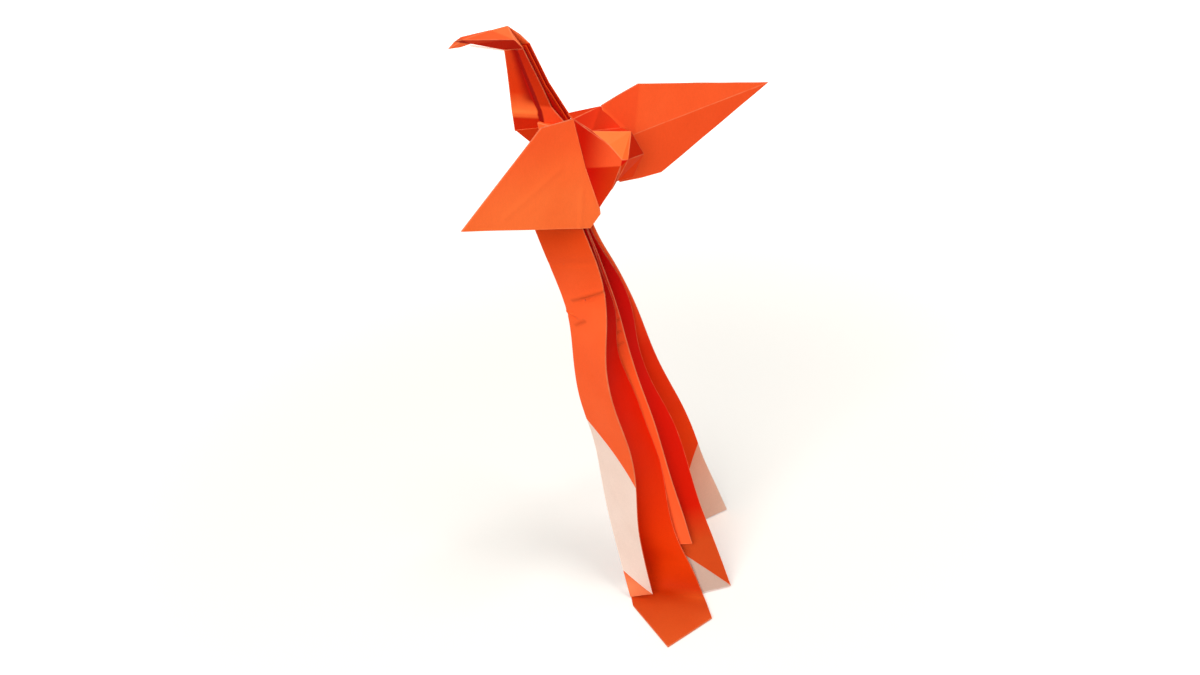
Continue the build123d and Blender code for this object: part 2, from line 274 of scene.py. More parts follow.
# Ribbons of the tail
LENGTH = 126.0
STATIONS = 9
TUCK, TUCK_BACK, TUCK_SIDE = 8.0, 2.0, -2.0
HEIGHTS = [LENGTH * (1 - k / STATIONS) for k in range(STATIONS + 1)]
NEAR_L = (-23.5, -20.6, -18.5, -18.8, -18.5, -16.6, -15.8, -15.1, -13.7, -12.2)
NEAR_R = (-10.2, -7.7, -8.0, -9.9, -9.2, -6.6, -6.1, -7.0, -6.5, -5.4)
FRONT_R = (-9.4, -7.2, -5.1, -5.9, -3.1, -0.2, 2.2, 2.8, 5.2, 9.2)
SHORT_R = (-9.2, -6.5, -4.2, -2.6, -0.4, 2.2, 4.2, 6.4, 8.5)
RIGHT_R = (-8.6, -4.3, -0.6, 0.3, 1.9, 6.5, 9.8, 11.9, 15.2, 18.4)
REAR_R = (-7.6, -3.6, 0.3, 3.1, 5.9, 9.8, 13.3, 15.7, 18.8, 21.9)
# Marks on a strip are set out as if it were this wide, with its stations this far apart
STRIP_WIDE, STATION_PITCH = 13, 14
NEVER = 99


def bowed(values, share):
    """A value that runs in a bow from the root's through the middle's to the foot's."""
    root, middle, foot = values
    return (
        root * (1 - share) * (1 - 2 * share)
        + middle * 4 * share * (1 - share)
        + foot * share * (2 * share - 1)
    )


def edge(swings, depths, lift, breadths=(0, 0, 0)):
    """A strip's edge from its tucked root down: swings in x, depths in y, foot lifted."""
    moved = [x - bowed(breadths, k / STATIONS) for k, x in enumerate(swings)]
    points = [np.array([moved[0] + TUCK_SIDE, depths[0] + TUCK_BACK, LENGTH + TUCK])]
    for k, x in enumerate(moved):
        points.append(np.array([x, bowed(depths, k / STATIONS), HEIGHTS[k]]))
    points[-1][2] += lift
    return points


def tucked(before_left, before_right, overlaps, gaps):
    """A left edge that lies hidden behind the ribbon before it."""
    points = []
    for k, corner in enumerate(before_right):
        share = max(k - 1, 0) / STATIONS
        inward = before_left[k] - corner
        inward = inward / np.linalg.norm(inward)
        behind = np.array([0, bowed(gaps, share), 0])
        points.append(corner + inward * bowed(overlaps, share) + behind)
    return points


class Curve:
    """A smooth curve through points, read at any share of its stations.

    After the station called straight it runs straight between its points."""

    def __init__(self, points, straight):
        p = self.p = np.array(points, float)
        n = self.n = len(p)
        gaps = np.linalg.norm(np.diff(p, axis=0), axis=1)
        u = self.u = np.concatenate([[0], np.cumsum(gaps)])
        last = self.last = min(straight, n - 1)
        a = np.zeros((last + 1, last + 1))
        rhs = np.zeros((last + 1, 3))
        a[0, 0] = a[-1, -1] = 1
        for i in range(1, last):
            h0, h1 = gaps[i - 1], gaps[i]
            a[i, i - 1 : i + 2] = (h0, 2 * (h0 + h1), h1)
            rhs[i] = 6 * ((p[i + 1] - p[i]) / h1 - (p[i] - p[i - 1]) / h0)
        if last < n - 1:
            lead = (p[last + 1] - p[last]) / gaps[last]
            a[-1, -2:] = (gaps[last - 1], 2 * gaps[last - 1])
            rhs[-1] = 6 * (lead - (p[last] - p[last - 1]) / gaps[last - 1])
        self.m = np.zeros((n, 3))
        self.m[: last + 1] = np.linalg.solve(a, rhs)

    def __call__(self, t):
        t = np.clip(t, 0, self.n - 1)
        i = np.minimum(t.astype(int), self.n - 2)
        f = (t - i)[..., None]
        h = (self.u[i + 1] - self.u[i])[..., None]
        p, m = self.p, self.m
        bent = (m[i] * ((1 - f) ** 3 - (1 - f)) + m[i + 1] * (f**3 - f)) * h * h / 6
        bent = np.where((i >= self.last)[..., None], 0, bent)
        return p[i] * (1 - f) + p[i + 1] * f + bent


class Ribbon:
    """A wavy strip between two edges. s runs from left to right, t from root to foot."""

    def __init__(self, left, right, seed, straight=NEVER, dents=(), ripple=0.05):
        self.left, self.right = Curve(left, straight), Curve(right, straight)
        self.seed, self.dents, self.ripple = seed, dents, ripple

    def middle(self, s, t):
        return self.left(t) * (1 - s[..., None]) + self.right(t) * s[..., None]

    def normal(self, s, t):
        across = self.right(t) - self.left(t)
        along = self.middle(s, t + 0.02) - self.middle(s, t - 0.02)
        n = np.cross(along, across)
        n /= np.linalg.norm(n, axis=-1, keepdims=True) + 1e-12
        return n

    def height(self, s, t):
        """Small dents and ridges over the strip, in millimetres."""
        rng = np.random.default_rng(self.seed)
        h = np.zeros_like(s)
        for _ in range(6):
            ks, kt = rng.uniform(-3, 3), rng.uniform(0.8, 4.5)
            h += self.ripple * np.sin(ks * s + kt * t + rng.uniform(0, 6.28))
        for s0, t0, angle, long, wide, high in self.dents:
            u, v = (s - s0) * STRIP_WIDE, (t - t0) * STATION_PITCH
            a = u * math.cos(angle) + v * math.sin(angle)
            b = -u * math.sin(angle) + v * math.cos(angle)
            h += high * np.exp(-((a / long) ** 2)) * np.exp(-((b / wide) ** 2))
        return h


def slab(ribbon, t0, t1, rows, cols, layer, side, tint=None, bend=0.0):
    """A layer of a ribbon between two slanting ends, given by t at its left and right edge.

    layer holds the heights of its top and bottom over the ribbon's middle surface, and side
    says which side of the paper shows."""
    top, bottom = layer
    # The columns crowd towards both edges
    share = np.linspace(0, 1, cols + 1)
    share = 0.35 * share + 0.65 * (0.5 - 0.5 * np.cos(share * math.pi))
    s, d = np.meshgrid(share, np.linspace(0, 1, rows + 1))
    start = t0[0] * (1 - s) + t0[1] * s
    end = t1[0] * (1 - s) + t1[1] * s + bend * 4 * s * (1 - s)
    t = start * (1 - d) + end * d
    mid, n, h = ribbon.middle(s, t), ribbon.normal(s, t), ribbon.height(s, t)
    wide = np.linalg.norm(ribbon.right(t) - ribbon.left(t), axis=-1)
    inward = np.minimum(s, 1 - s) * wide
    down = np.linalg.norm(mid - mid[-1:], axis=-1)
    up = mid + n * (h + top)[..., None]
    low = mid + n * (h + bottom)[..., None]
    # Neither side dips below the floor
    up[..., 2] = np.maximum(up[..., 2], 0.05)
    low[..., 2] = np.maximum(low[..., 2], 0.02)
    count = (rows + 1) * (cols + 1)
    verts = np.concatenate([up.reshape(-1, 3), low.reshape(-1, 3)])
    grid = np.arange(count).reshape(rows + 1, cols + 1)
    faces, mats = [], []
    for r in range(rows):
        for c in range(cols):
            a, b, e, f = grid[r, c], grid[r, c + 1], grid[r + 1, c + 1], grid[r + 1, c]
            faces += [(a, f, e, b), (a + count, b + count, e + count, f + count)]
            mats += [side, side]
    loop = list(grid[0, :]) + list(grid[1:, -1]) + list(grid[-1, -2::-1]) + list(grid[-2:0:-1, 0])
    for a, b in zip(loop, loop[1:] + loop[:1]):
        faces.append((a, b, b + count, a + count))
        mats.append(CUT_EDGE)
    rim = np.minimum(inward, down).ravel()
    colours = np.ones((count, 3))
    if tint is not None:
        colours[:] = tint(s, t).reshape(-1, 3)
    # The back is plain paper, without the shade of the front
    plain_back = np.ones((count, 3)) if side == GOOD_SIDE else colours
    return verts, faces, mats, np.concatenate([rim, rim]), np.concatenate([colours, plain_back])


def ribbon_piece(name, parts):
    """One piece of the tail, from its layers."""
    verts, faces, mats, rim, tint, shift = [], [], [], [], [], 0
    for v, f, m, w, c in parts:
        verts.append(v)
        faces += [tuple(i + shift for i in face) for face in f]
        mats += m
        rim.append(w)
        tint.append(c)
        shift += len(v)
    return make(
        name,
        np.concatenate(verts),
        faces,
        mats,
        np.concatenate(rim),
        np.concatenate(tint),
        flat_over=CUT_RIBBON,
    )


near_left = edge(NEAR_L, (-1, 5, -1), 0.3)
near_right = edge(NEAR_R, (-5, -6, -4), 2.4)
front_left = tucked(near_left, near_right, (12, 1.8, 6), (0.8, 0.7, 8))[:-1]
front_right = edge(FRONT_R, (-3.2, 4.6, -2), 0)[:-1]
front_left += [(-12.0, 7.0, 6.0), (-12.3, 5.0, 1.5), (-12.1, 1.5, 0.3)]
front_left += [(-11.8, -5.5, 0.25), (-3.3, -28.3, 0.25)]
front_right += [(7.8, -1.6, 6.6), (9.3, -4.6, 1.5), (9.95, -7.5, 0.3)]
front_right += [(10.35, -11.0, 0.25), (11.0, -17.5, 0.25)]
short_left = edge(SHORT_R, (2, 8.1, 0.5), 0.4, (12, 6, 9))
short_right = edge(SHORT_R, (-1.5, 3.5, -0.9), 1.4)
right_left = tucked(short_left, short_right, (11, 4.2, 6), (0.8, 0.8, 0.8)) + [(9.0, -4.1, 0.2)]
right_right = edge(RIGHT_R, (0, 12.5, -2.5), 0.2)
rear_left = edge(REAR_R, (4, 19, 32), 0.2, (12.5, 12.5, 12.5))
rear_right = edge(REAR_R, (1.5, 20, 38.5), 0.2)

# Creases and dings: s, t, angle, half length, half width, height
near = Ribbon(
    near_left,
    near_right,
    seed=3,
    dents=(
        (0.62, 2.37, -0.45, 5.2, 0.5, 0.55),
        (0.60, 2.47, -0.45, 5.0, 0.45, -0.5),
        (0.10, 2.90, 0.3, 1.5, 0.4, 0.6),
        (0.12, 2.99, 0.3, 1.7, 0.45, -0.4),
        (0.30, 3.11, -0.6, 2.4, 0.45, -0.5),
        (0.50, 1.6, -0.1, 7.0, 1.2, -0.25),
        (0.35, 7.3, 1.2, 5.0, 1.2, 0.12),
        (0.75, 8.3, 1.3, 4.0, 1.0, -0.1),
    ),
)
short = Ribbon(
    short_left,
    short_right,
    seed=5,
    dents=(
        (0.78, 3.26, 1.25, 1.9, 0.45, 0.3),
        (0.70, 3.50, 1.2, 1.8, 0.4, -0.25),
        (0.68, 3.85, 1.3, 1.6, 0.4, 0.22),
    ),
)
right = Ribbon(right_left, right_right, seed=7)
rear = Ribbon(rear_left, rear_right, seed=9)
front = Ribbon(front_left, front_right, seed=11, straight=12, ripple=0.04)


def marked(s, t, marks, tint):
    """Soft lines of shade over a ribbon's tint: start, end, half width in mm, factor."""
    for (s0, t0), (s1, t1), wide, factor in marks:
        along = np.array([(s1 - s0) * STRIP_WIDE, (t1 - t0) * STATION_PITCH])
        u, v = (s - s0) * STRIP_WIDE, (t - t0) * STATION_PITCH
        share = np.clip((u * along[0] + v * along[1]) / (along @ along), 0, 1)
        away = np.hypot(u - share * along[0], v - share * along[1])
        tint = tint * (1 + (factor - 1) * np.exp(-((away / wide) ** 2)))[..., None]
    return tint


# Painted light and shade down the near strip: darker near its root, lighter at its very foot,
# with soft lines of painted shade along its creases
def near_painted_shading(s, t):
    along = tones(
        t,
        (
            (1.0, tone(214, 66, 15)),
            (2.7, tone(250, 97, 45)),
            (9.2, tone(240, 97, 48)),
            (9.7, tone(244, 132, 84)),
        ),
    )
    marks = (
        ((0.23, 2.56), (1.0, 2.21), 0.45, 0.72),
        ((0.0, 2.90), (0.19, 2.97), 0.3, 0.8),
        ((0.17, 3.19), (0.435, 3.02), 0.5, 0.78),
    )
    return marked(s, t, marks, along)


# Painted shade: the front strip deep red down its trough behind the near strip, with a painted
# lighter patch where its foot turns up to the light
def front_painted_shading(s, t):
    trough = tones(
        t,
        (
            (2.0, tone(160, 1, 1, 0.74)),
            (5.3, tone(214, 28, 1, 0.84)),
            (9.7, tone(224, 60, 4)),
            (11.6, tone(190, 48, 2, 1.04)),
            (14.0, tone(230, 90, 36)),
        ),
    )
    foot = np.clip((s - 0.55) / 0.35, 0, 1) * np.clip(1 - np.abs(t - 12) / 1.1, 0, 1)
    foot = foot[..., None]
    return trough * (1 - foot) + tone(224, 86, 30) * foot


# Painted shade: the short strip darker near its root, in the shade of the near strip, with soft
# lines of painted shade over its wrinkles
def short_painted_shading(s, t):
    along = tones(
        t,
        (
            (2.0, tone(200, 42, 26, 0.7)),
            (4.6, tone(240, 88, 38, 0.76)),
            (8.2, tone(252, 100, 50)),
        ),
    )
    marks = (
        ((0.60, 3.36), (0.98, 3.20), 0.35, 0.7),
        ((0.55, 3.66), (0.92, 3.50), 0.35, 0.72),
        ((0.45, 3.98), (0.88, 3.80), 0.35, 0.75),
    )
    return marked(s, t, marks, along)


# Painted shade: the right strip deep red down its trough, lighter only at its foot
def right_painted_shading(s, t):
    return tones(
        t,
        (
            (1.5, tone(163, 2, 2, 0.62)),
            (5.5, tone(200, 16, 2, 0.74)),
            (8.2, tone(203, 24, 1, 0.92)),
            (9.0, tone(206, 74, 26, 1.04)),
        ),
    )


# Painted shade: the white end of the right strip drawn darker and warmer than white paper
def right_white_shade(s, t):
    return np.array([0.64, 0.57, 0.53]) + np.zeros(s.shape + (3,))


# Painted shade: the rear strip darker down its middle, behind the other strips
def rear_painted_shading(s, t):
    return tones(
        t,
        (
            (1.5, tone(222, 80, 36, 0.7)),
            (4.5, tone(208, 40, 8, 0.74)),
            (7.5, tone(226, 56, 6, 0.66)),
        ),
    )


# Painted light: the white end of the rear strip drawn salmon, an orange glow strongest at its top
def rear_white_glow(s, t):
    return tones(t, ((8.0, np.array([1.12, 0.72, 0.56])), (10.0, np.array([1.12, 0.96, 0.86]))))


# Layers of a ribbon, as the heights of their two sides over its middle surface. Each slab has
# its rows and columns after its ends
SKIN = 0.2
STEP = 0.07
WHOLE = (SKIN, -SKIN)
TOP_LAYER = (SKIN, SKIN - STEP)
WHITE_LAYER = (SKIN - STEP, SKIN - 2 * STEP)
UNDER_LAYER = (SKIN - 2 * STEP, -SKIN)
END = float(len(near_left) - 1)
SHORT_END = float(len(short_left) - 1)
FRONT_END = float(len(front_left) - 1)
ribbon_piece(
    "near_ribbon",
    [
        slab(near, (0, 0), (END, END), 250, 22, UNDER_LAYER, GOOD_SIDE, near_painted_shading),
        slab(near, (5.2, 6.6), (9.33, 10.0), 130, 22, WHITE_LAYER, WHITE_SIDE, bend=-0.03),
        slab(near, (0, 0), (5.58, 6.97), 330, 36, TOP_LAYER, GOOD_SIDE, near_painted_shading, bend=-0.02),
    ],
)
ribbon_piece(
    "front_ribbon",
    [slab(front, (0, 0), (FRONT_END, FRONT_END), 330, 24, WHOLE, GOOD_SIDE, front_painted_shading)],
)
ribbon_piece(
    "short_ribbon",
    [slab(short, (0, 0), (SHORT_END, SHORT_END), 220, 18, WHOLE, GOOD_SIDE, short_painted_shading)],
)
ribbon_piece(
    "right_ribbon",
    [
        slab(right, (0, 0), (END, END), 250, 20, UNDER_LAYER, GOOD_SIDE, right_painted_shading),
        slab(right, (8.6, 9.4), (END, END), 50, 20, WHITE_LAYER, WHITE_SIDE, right_white_shade),
        slab(right, (0, 0), (9.17, 9.99), 220, 20, TOP_LAYER, GOOD_SIDE, right_painted_shading),
    ],
)
ribbon_piece(
    "rear_ribbon",
    [
        slab(rear, (0, 0), (END, END), 250, 20, UNDER_LAYER, GOOD_SIDE, rear_painted_shading),
        slab(rear, (8.4, 7.0), (END, END), 70, 20, WHITE_LAYER, WHITE_SIDE, rear_white_glow),
        slab(rear, (0, 0), (9.3, 7.65), 220, 20, TOP_LAYER, GOOD_SIDE, rear_painted_shading),
    ],
)


# Folded faces
def fine(faces, levels):
    """Triangles split evenly. Each keeps the number of the face that it came from."""
    verts, index, tris = [], {}, []

    def vertex(p):
        key = tuple(round(float(c), 4) for c in p)
        if key not in index:
            index[key] = len(verts)
            verts.append(np.array(p, float))
        return index[key]

    for k, corners in enumerate(faces):
        ids = [vertex(p) for p in corners]
        for j in range(1, len(ids) - 1):
            tris.append((ids[0], ids[j], ids[j + 1], k))
    for _ in range(levels):
        halves, next_tris = {}, []

        def half(a, b):
            key = (a, b) if a < b else (b, a)
            if key not in halves:
                halves[key] = len(verts)
                verts.append((verts[a] + verts[b]) / 2)
            return halves[key]

        for a, b, c, k in tris:
            ab, bc, ca = half(a, b), half(b, c), half(c, a)
            next_tris += [(a, ab, ca, k), (ab, b, bc, k), (ca, bc, c, k), (ab, bc, ca, k)]
        tris = next_tris
    return np.array(verts), np.array(tris)


def edges_of(tris):
    """Each edge of a mesh with the faces beside it, in the order it was met."""
    seen = {}
    for number, (a, b, c) in enumerate(tris[:, :3]):
        for p, q in ((a, b), (b, c), (c, a)):
            key = (p, q) if p < q else (q, p)
            seen.setdefault(key, []).append((number, p, q))
    return seen


def fold_lines(faces, least):
    """The border and the creases folded by more than least degrees, as pairs of points."""
    verts, tris = fine(faces, 0)
    n = np.cross(verts[tris[:, 1]] - verts[tris[:, 0]], verts[tris[:, 2]] - verts[tris[:, 0]])
    n /= np.linalg.norm(n, axis=1, keepdims=True)
    lines = []
    for key, beside in edges_of(tris).items():
        if len(beside) == 2:
            turn = math.degrees(math.acos(np.clip(abs(n[beside[0][0]] @ n[beside[1][0]]), 0, 1)))
            if turn < least:
                continue
        lines.append((verts[key[0]], verts[key[1]]))
    return lines


# As far from any fold or edge as is ever asked for
FAR_OFF = 9.0


def distance(points, lines):
    """How far each point is from the nearest line."""
    best = np.full(len(points), FAR_OFF)
    for a, b in lines:
        ab = b - a
        share = np.clip((points - a) @ ab / (ab @ ab + 1e-12), 0, 1)
        best = np.minimum(best, np.linalg.norm(points - a - share[:, None] * ab, axis=1))
    return best


def face_tints(count, verts, tris, tints):
    """Vertex colours from one tint a face, or from a function of the points of a face."""
    total = np.zeros((count, 3))
    weight = np.zeros((count, 1))
    for k in sorted(set(tris[:, 3].tolist())):
        own = np.unique(tris[tris[:, 3] == k, :3])
        tint = tints[k] if tints is not None and k < len(tints) else np.ones(3)
        total[own] += tint(verts[own]) if callable(tint) else tint
        weight[own] += 1
    return total / np.maximum(weight, 1)


def soften(verts, tris, rounds, keep):
    """Rounds the creases a little; the vertices in keep stay."""
    pairs = np.array(list(edges_of(tris).keys()))
    for _ in range(rounds):
        total = np.zeros_like(verts)
        count = np.zeros(len(verts))
        np.add.at(total, pairs[:, 0], verts[pairs[:, 1]])
        np.add.at(total, pairs[:, 1], verts[pairs[:, 0]])
        np.add.at(count, pairs[:, 0], 1)
        np.add.at(count, pairs[:, 1], 1)
        moved = verts * 0.5 + 0.5 * total / count[:, None]
        moved[keep] = verts[keep]
        verts = moved
    return verts


def borders(tris):
    """The edges with a face on one side only, as pairs of vertices."""
    return [beside[0][1:] for beside in edges_of(tris).values() if len(beside) == 1]


def point_normals(verts, tris):
    """The normal at each vertex, from the faces around it by their size."""
    n = np.cross(verts[tris[:, 1]] - verts[tris[:, 0]], verts[tris[:, 2]] - verts[tris[:, 0]])
    out = np.zeros_like(verts)
    for k in range(3):
        np.add.at(out, tris[:, k], n)
    return out / (np.linalg.norm(out, axis=1, keepdims=True) + 1e-12)


def sheet(
    name, faces, thick, levels, seed, cockle=0.1, reach=16, outward=None, tints=None, least=10,
    extra=(), bumps=(), kinds=None, rounds=2, crisp=True
):
    """One sheet with creases, as thick as its layers. outward points out of its good side.

    cockle and reach are the height and length of its gentle waves. extra has more lines drawn
    lighter, as wear and as a painted highlight, and bumps soft ridges from point to point, with
    half width and height."""
    verts, tris = fine(faces, levels)
    t = tris[:, :3]
    n = point_normals(verts, t)
    if outward is not None and (n @ np.array(outward, float)).sum() < 0:
        t = t[:, ::-1]
    lines = fold_lines(faces, least)
    lines += [(np.array(a, float), np.array(b, float)) for a, b in extra]
    rim = distance(verts, lines)
    tint = face_tints(len(verts), verts, tris, tints)
    edge_pairs = borders(t)
    fixed = sorted({i for pair in edge_pairs for i in pair})
    height = waves(verts, seed, cockle, reach)
    for a, b, wide, high in bumps:
        far = distance(verts, [(np.array(a, float), np.array(b, float))])
        height = height + high * np.exp(-((far / wide) ** 2))
    verts = soften(verts, t, rounds, fixed)
    n = point_normals(verts, t)
    calm = np.full(len(verts), 1.0)
    calm[fixed] = 0.3
    verts = verts + n * (height * calm)[:, None]
    n = point_normals(verts, t)
    count = len(verts)
    allv = np.concatenate([verts + n * thick / 2, verts - n * thick / 2])
    allf = [tuple(f) for f in t] + [(a + count, c + count, b + count) for a, b, c in t]
    own = [GOOD_SIDE if kinds is None else kinds[int(k)] for k in tris[:, 3]]
    mats = own + [GOOD_SIDE] * len(own)
    for a, b in edge_pairs:
        allf.append((b, a, a + count, b + count))
        mats.append(CUT_EDGE if crisp else GOOD_SIDE)
    rim = rim if crisp else np.full(len(rim), FAR_OFF)
    rim2, tint2 = np.concatenate([rim, rim]), np.concatenate([tint, tint])
    return make(name, allv, allf, mats, rim2, tint2, flat_over=CREASED)


def closed(
    name, faces, heart, levels, seed, cockle=0.05, reach=9, tints=None, least=12, rounds=2
):
    """A folded bundle: its faces, closed down to its heart."""
    faces = [[np.array(p, float) for p in f] for f in faces]
    heart = np.array(heart, float)
    fixed = []
    for f in faces:
        n = np.cross(f[1] - f[0], f[2] - f[0])
        fixed.append(f if np.dot(n, f[0] - heart) > 0 else f[::-1])
    lines = fold_lines(fixed, least)
    base, coarse = fine(fixed, 0)
    count = len(fixed)
    for a, b in borders(coarse):
        fixed.append([base[b], base[a], heart])
    verts, tris = fine(fixed, levels)
    t = tris[:, :3]
    rim = distance(verts, lines)
    every = list(tints) if tints is not None else [np.ones(3)] * count
    every += [np.ones(3)] * (len(fixed) - count)
    tint = face_tints(len(verts), verts, tris, every)
    verts = soften(verts, t, rounds, [])
    n = point_normals(verts, t)
    verts = verts + n * waves(verts, seed, cockle, reach)[:, None]
    own = [GOOD_SIDE] * len(t)
    return make(name, verts, [tuple(f) for f in t], own, rim, tint, flat_over=CREASED)


def by_height(*stops):
    """A tint set by height, between stops of (height, tint)."""
    stops = sorted(stops, key=lambda stop: stop[0])

    def run(points):
        return tones(points[:, 2], stops)

    return run


def across(a, b, tint_a, tint_b):
    """A tint that runs from one at point a to another at point b."""
    a, b = np.array(a, float), np.array(b, float)

    def run(points):
        share = np.clip((points - a) @ (b - a) / ((b - a) @ (b - a)), 0, 1)[:, None]
        share = share * share * (3 - 2 * share)
        return tint_a * (1 - share) + tint_b * share

    return run


# How thick a wing and a layer of the neck look
WING_THICK, NECK_THICK = 0.38, 0.34

# Near wing
TIP = (-43.1, -26.2, 144.5)
FRONT = (-18.2, -10.6, 164.0)
TOP = (-9.4, -5.1, 162.7)
FOLD = (-8.0, -4.3, 147.2)
ROOT = (-5.6, -2.7, 133.4)
CORNER = (-5.6, -2.8, 131.9)
TRAIL = (-8.9, -4.8, 129.0)
# Painted light and shade: the near wing a little darker at its top and lighter towards its lower
# edge
near_wing_shading = across((-14, -8, 164), (-14, -8, 142), tone(248, 94, 43), tone(251, 112, 52))
sheet(
    "near_wing",
    [
        [FRONT, TIP, FOLD],
        [FRONT, FOLD, TOP],
        [TIP, TRAIL, FOLD],
        [FOLD, TRAIL, CORNER],
        [FOLD, CORNER, ROOT],
    ],
    WING_THICK,
    levels=6,
    seed=21,
    cockle=0.14,
    reach=20,
    outward=(-0.5, -0.85, 0),
    tints=[near_wing_shading] * 5,
    bumps=(
        ((-31, -18.5, 143), (-15, -8.6, 150), 1.1, 0.12),
        ((-11.6, -6.5, 130.5), (-9.8, -5.4, 141), 0.7, 0.16),
    ),
)

# Far wing
F_TIP = (46.7, 26.3, 151.0)
F_SHOULDER = (9.5, 4.4, 166.1)
F_TOP = (-1.4, -2.0, 164.1)
F_CREASE = (6.4, 1.8, 152.4)
F_ROOT = (1.0, -0.6, 139.7)
F_CORNER = (6.7, 2.8, 138.4)
F_TRAIL = (12.9, 6.4, 137.5)
# Painted light and shade: the far wing's upper faces lighter, its lower faces darker
far_wing_lit = tone(249, 92, 42, 0.97)
far_wing_shaded = tone(240, 82, 34, 0.95)
sheet(
    "far_wing",
    [
        [F_TIP, F_SHOULDER, F_CREASE],
        [F_CREASE, F_SHOULDER, F_TOP],
        [F_TIP, F_CREASE, F_TRAIL],
        [F_CREASE, F_CORNER, F_TRAIL],
        [F_CREASE, F_ROOT, F_CORNER],
        [F_CREASE, F_TOP, F_ROOT],
    ],
    WING_THICK,
    levels=6,
    seed=23,
    cockle=0.1,
    outward=(0.5, -0.85, 0),
    tints=[far_wing_lit, tone(248, 84, 38), far_wing_shaded, far_wing_shaded, far_wing_shaded, far_wing_lit],
    extra=((F_CREASE, F_TIP),),
    least=25,
    rounds=9,
)

# Body
SHELF_FRONT = (-10.8, -1.0, 162.8)
SHELF_BACK = (3.5, 0.0, 155.6)
HUMP_FRONT = (-4.8, -6.0, 158.8)
HUMP_SIDE = (-0.7, -8.0, 154.9)
HUMP_LOW = (2.2, -9.0, 150.4)
HUMP_NOSE = (3.8, -9.5, 150.4)
HUMP_TOP = (5.7, -5.7, 157.0)
PINCH_BACK = (1.7, -8.5, 148.4)
FLANK_LOW = (-1.5, -5.5, 140.1)
RUMP_SIDE = (8.5, -4.5, 149.1)
RUMP_LOW = (4.7, -3.0, 141.6)
RUMP_FRONT = (0.1, -5.5, 142.3)
# Painted light and shade on the body: the hump's top lighter, the near side, the pinch, the rump
# and the root darker, the side running from dark by the near wing's fold to lighter
deep_shade = tone(190, 14, 1, 0.85)
side_shade = across((-8.6, -5, 154), (0.8, -8.4, 151), tone(190, 20, 1), tone(238, 88, 42))
low_side_shade = across((-7.4, -4.3, 146), (0.8, -7.5, 143), tone(194, 14, 1), tone(208, 54, 8))
root_shade = across((-9, -3, 163), (3.5, -1, 156), tone(196, 40, 14, 0.9), tone(246, 66, 28))
hump_lit = tone(254, 122, 60)
rump_shade = tone(194, 32, 1, 0.95)
rump_low_shade = tone(222, 56, 4, 0.92)
closed(
    "body_folds",
    [
        [SHELF_FRONT, TOP, F_TOP],
        [TOP, HUMP_FRONT, F_TOP],
        [HUMP_FRONT, SHELF_BACK, F_TOP],
        [HUMP_FRONT, HUMP_TOP, SHELF_BACK],
        [HUMP_FRONT, HUMP_SIDE, HUMP_TOP],
        [HUMP_SIDE, HUMP_LOW, HUMP_TOP],
        [HUMP_LOW, HUMP_NOSE, HUMP_TOP],
        [TOP, HUMP_SIDE, HUMP_FRONT],
        [TOP, FOLD, HUMP_SIDE],
        [FOLD, PINCH_BACK, HUMP_SIDE],
        [HUMP_SIDE, PINCH_BACK, HUMP_LOW],
        [FOLD, ROOT, FLANK_LOW],
        [FOLD, FLANK_LOW, PINCH_BACK],
        [PINCH_BACK, FLANK_LOW, RUMP_FRONT],
        [PINCH_BACK, RUMP_FRONT, HUMP_NOSE],
        [HUMP_LOW, PINCH_BACK, HUMP_NOSE],
        [HUMP_NOSE, RUMP_SIDE, HUMP_TOP],
        [HUMP_NOSE, RUMP_FRONT, RUMP_SIDE],
        [RUMP_FRONT, RUMP_LOW, RUMP_SIDE],
        [HUMP_TOP, RUMP_SIDE, SHELF_BACK],
    ],
    heart=(-5.0, 1.0, 150.0),
    levels=5,
    seed=25,
    # Each face's tint carries painted light and shade
    tints=[
        tone(206, 50, 12, 0.8),
        root_shade,
        root_shade,
        root_shade,
        hump_lit,
        tone(250, 118, 56),
        tone(236, 96, 38),
        side_shade,
        side_shade,
        side_shade,
        side_shade,
        low_side_shade,
        low_side_shade,
        low_side_shade,
        low_side_shade,
        deep_shade,
        rump_shade,
        rump_low_shade,
        rump_low_shade,
        rump_shade,
    ],
    least=32,
)
top_ring = [(-19.4, 7.4, 157.5), (-17.8, 11.0, 157.5), (0.5, 1.0, 157.5), (-8.5, -3.5, 157.5)]
foot_ring = [(-17.6, -1.9, 131), (-15.2, 3.6, 131), (-7.0, 2.4, 131), (-8.8, -3.6, 131)]
RIDGE = (-9.5, 6.8, 145)
core = [top_ring, foot_ring[::-1]]
# The far side, number 1, has a ridge in place of one flat face
for k in (0, 2, 3):
    j = (k + 1) % 4
    core.append([top_ring[k], top_ring[j], foot_ring[j], foot_ring[k]])
core += [[top_ring[1], top_ring[2], RIDGE], [top_ring[2], foot_ring[2], RIDGE]]
core += [[foot_ring[2], foot_ring[1], RIDGE], [foot_ring[1], top_ring[1], RIDGE]]
closed("body_core", core, heart=(-12.5, 2.5, 144), levels=5, seed=27)
# Painted shade: the chest fold drawn darker than the paper
closed(
    "chest_fold",
    [[(-26.0, 11.2, 154.3), (-18.4, 7.0, 156.0), (-22.1, 9.0, 150.7)]],
    heart=(-17.0, 9.4, 154.5),
    levels=4,
    seed=29,
    tints=[tone(196, 48, 5)],
)

# Neck
ORIGIN = np.array([-12.0, 3.0])
FORWARD = np.array([-0.857, 0.514])
SIDEWAYS = np.array([FORWARD[1], -FORWARD[0], 0.0])
PITCH = 0.9
# How deep the trough in the neck's near side lies, at its front and at its back
TROUGH_FRONT, TROUGH_BACK = 0.95, 0.15


def profile(spot, offset):
    """A spot of the neck's and head's outline, forward and up, so far from the near side."""
    flat = ORIGIN + FORWARD * spot[0]
    return np.array([flat[0], flat[1], spot[1]]) + SIDEWAYS * offset


